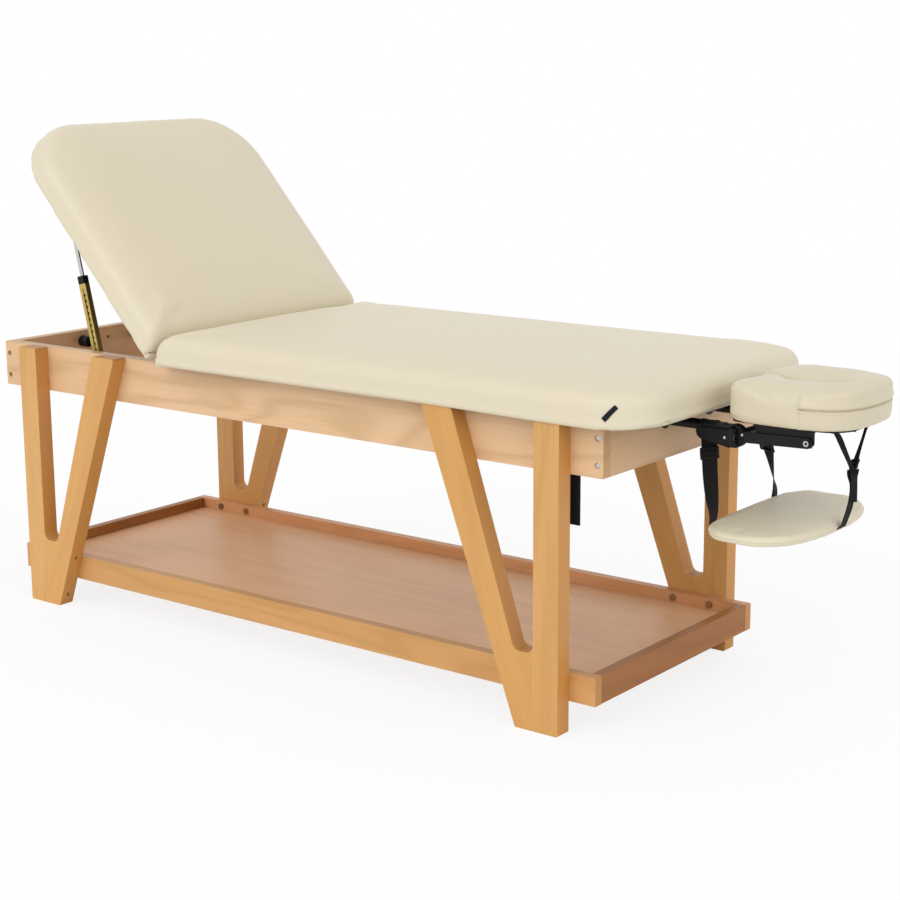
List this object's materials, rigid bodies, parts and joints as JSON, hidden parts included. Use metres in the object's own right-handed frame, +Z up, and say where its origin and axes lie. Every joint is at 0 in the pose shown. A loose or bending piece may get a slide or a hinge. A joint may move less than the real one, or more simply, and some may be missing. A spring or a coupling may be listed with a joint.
{
  "type": "massage table",
  "caption": "Wooden massage table with a lifting backrest on ratchet stays, forked legs, a storage tray, a tilting face cradle with a horseshoe cushion and a hanging arm shelf.",
  "frame": {"origin": "on the floor, under the middle of the whole table in the pictured pose", "axes": "+X runs along the table towards the face cradle, +Y across it, +Z up"},
  "size_m": [2.0795, 0.7, 1.1191],
  "materials": {
    "rail_wood": "satin",
    "leg_wood": "satin",
    "rim_wood": "satin",
    "panel_wood": "satin",
    "shelf_wood": "satin",
    "board_black": "matte",
    "platform_black": "satin",
    "plated_steel": "satin",
    "yellow_zinc": "satin",
    "rod_steel": "satin",
    "black_steel": "satin",
    "black_plastic": "matte",
    "bush_plastic": "matte",
    "webbing": "matte",
    "cover_cream": "satin"
  },
  "bodies": {
    "table": {"near_rail": "rail_wood", "far_rail": "rail_wood", "foot_rail": "rail_wood", "head_rail": "rail_wood", "cross_rails": "rail_wood", "leg_near_foot": "leg_wood", "leg_far_foot": "leg_wood", "leg_near_head": "leg_wood", "leg_far_head": "leg_wood", "rail_screws": "plated_steel", "leg_bolts": "plated_steel", "rim_near": "rim_wood", "rim_far": "rim_wood", "rim_foot": "rim_wood", "rim_head": "rim_wood", "tray_panel": "panel_wood", "bushes_foot": "bush_plastic", "bushes_head": "bush_plastic", "hang_loop": "webbing", "main_board": "board_black", "main_pad": "cover_cream", "hinge_main": "plated_steel", "hinge_pins": "plated_steel", "stay_mounts": "yellow_zinc"},
    "backrest": {"back_board": "board_black", "back_pad": "cover_cream", "hinge_back": "plated_steel", "stay_clevises": "yellow_zinc"},
    "rod_near": {"stay_rod_near": "rod_steel"},
    "rod_far": {"stay_rod_far": "rod_steel"},
    "channel_near": {"stay_channel_near": "yellow_zinc", "stay_collar_near": "black_plastic"},
    "channel_far": {"stay_channel_far": "yellow_zinc", "stay_collar_far": "black_plastic"},
    "cradle": {"posts": "black_steel", "cross_tube": "black_steel", "tie_rod": "rod_steel", "cam_pin": "plated_steel", "buckle_near": "black_plastic", "buckle_far": "black_plastic", "front_slider": "black_plastic"},
    "cam": {"cam_lever": "black_plastic"},
    "arms": {"arms": "black_steel", "arm_discs": "black_plastic"},
    "head": {"platform": "platform_black", "platform_brackets": "black_steel", "face_cushion": "cover_cream", "head_bolts": "plated_steel"},
    "shelf": {"shelf_board": "shelf_wood", "shelf_pad": "cover_cream", "strap_near": "webbing", "strap_far": "webbing", "strap_front": "webbing"}
  },
  "joints": [
    {"name": "backrest_lift", "type": "hinge", "parent": "table", "child": "backrest", "pos_m": [-0.499, 0, 0.631], "axis": [0, 1, 0], "range_deg": [-47.8, 4]},
    {"name": "rod_swing_near", "type": "hinge", "parent": "backrest", "child": "rod_near", "pos_m": [-0.84411, -0.2635, 0.96347], "axis": [0, 1, 0], "range_deg": [-18, 2]},
    {"name": "rod_swing_far", "type": "hinge", "parent": "backrest", "child": "rod_far", "pos_m": [-0.84411, 0.2635, 0.96347], "axis": [0, 1, 0], "range_deg": [-18, 2]},
    {"name": "stay_slide_near", "type": "slide", "parent": "rod_near", "child": "channel_near", "axis": [0.2347, 0, -0.9721], "range_m": [-0.17, 0.015]},
    {"name": "stay_slide_far", "type": "slide", "parent": "rod_far", "child": "channel_far", "axis": [0.2347, 0, -0.9721], "range_m": [-0.17, 0.015]},
    {"name": "cradle_reach", "type": "slide", "parent": "table", "child": "cradle", "axis": [1, 0, 0], "range_m": [-0.008, 0.11]},
    {"name": "cam_release", "type": "hinge", "parent": "cradle", "child": "cam", "pos_m": [0.797, -0.1066, 0.571], "axis": [0, 0, 1], "range_deg": [0, 80]},
    {"name": "cradle_tilt", "type": "hinge", "parent": "cradle", "child": "arms", "pos_m": [0.797, 0, 0.571], "axis": [0, 1, 0], "range_deg": [-12, 14]},
    {"name": "head_tilt", "type": "hinge", "parent": "arms", "child": "head", "pos_m": [0.946, 0, 0.576], "axis": [0, 1, 0], "range_deg": [0, 25]},
    {"name": "shelf_height", "type": "slide", "parent": "cradle", "child": "shelf", "axis": [0, 0, 1], "range_m": [-0.04, 0.05], "deforming": ["strap_near", "strap_far", "strap_front"]}
  ],
  "couplings": [
    {"joint": "rod_swing_near", "follows": "backrest_lift", "ratio": 0.36},
    {"joint": "rod_swing_far", "follows": "backrest_lift", "ratio": 0.36},
    {"joint": "stay_slide_near", "follows": "backrest_lift", "m_per_rad": 0.20053},
    {"joint": "stay_slide_far", "follows": "backrest_lift", "m_per_rad": 0.20053}
  ]
}
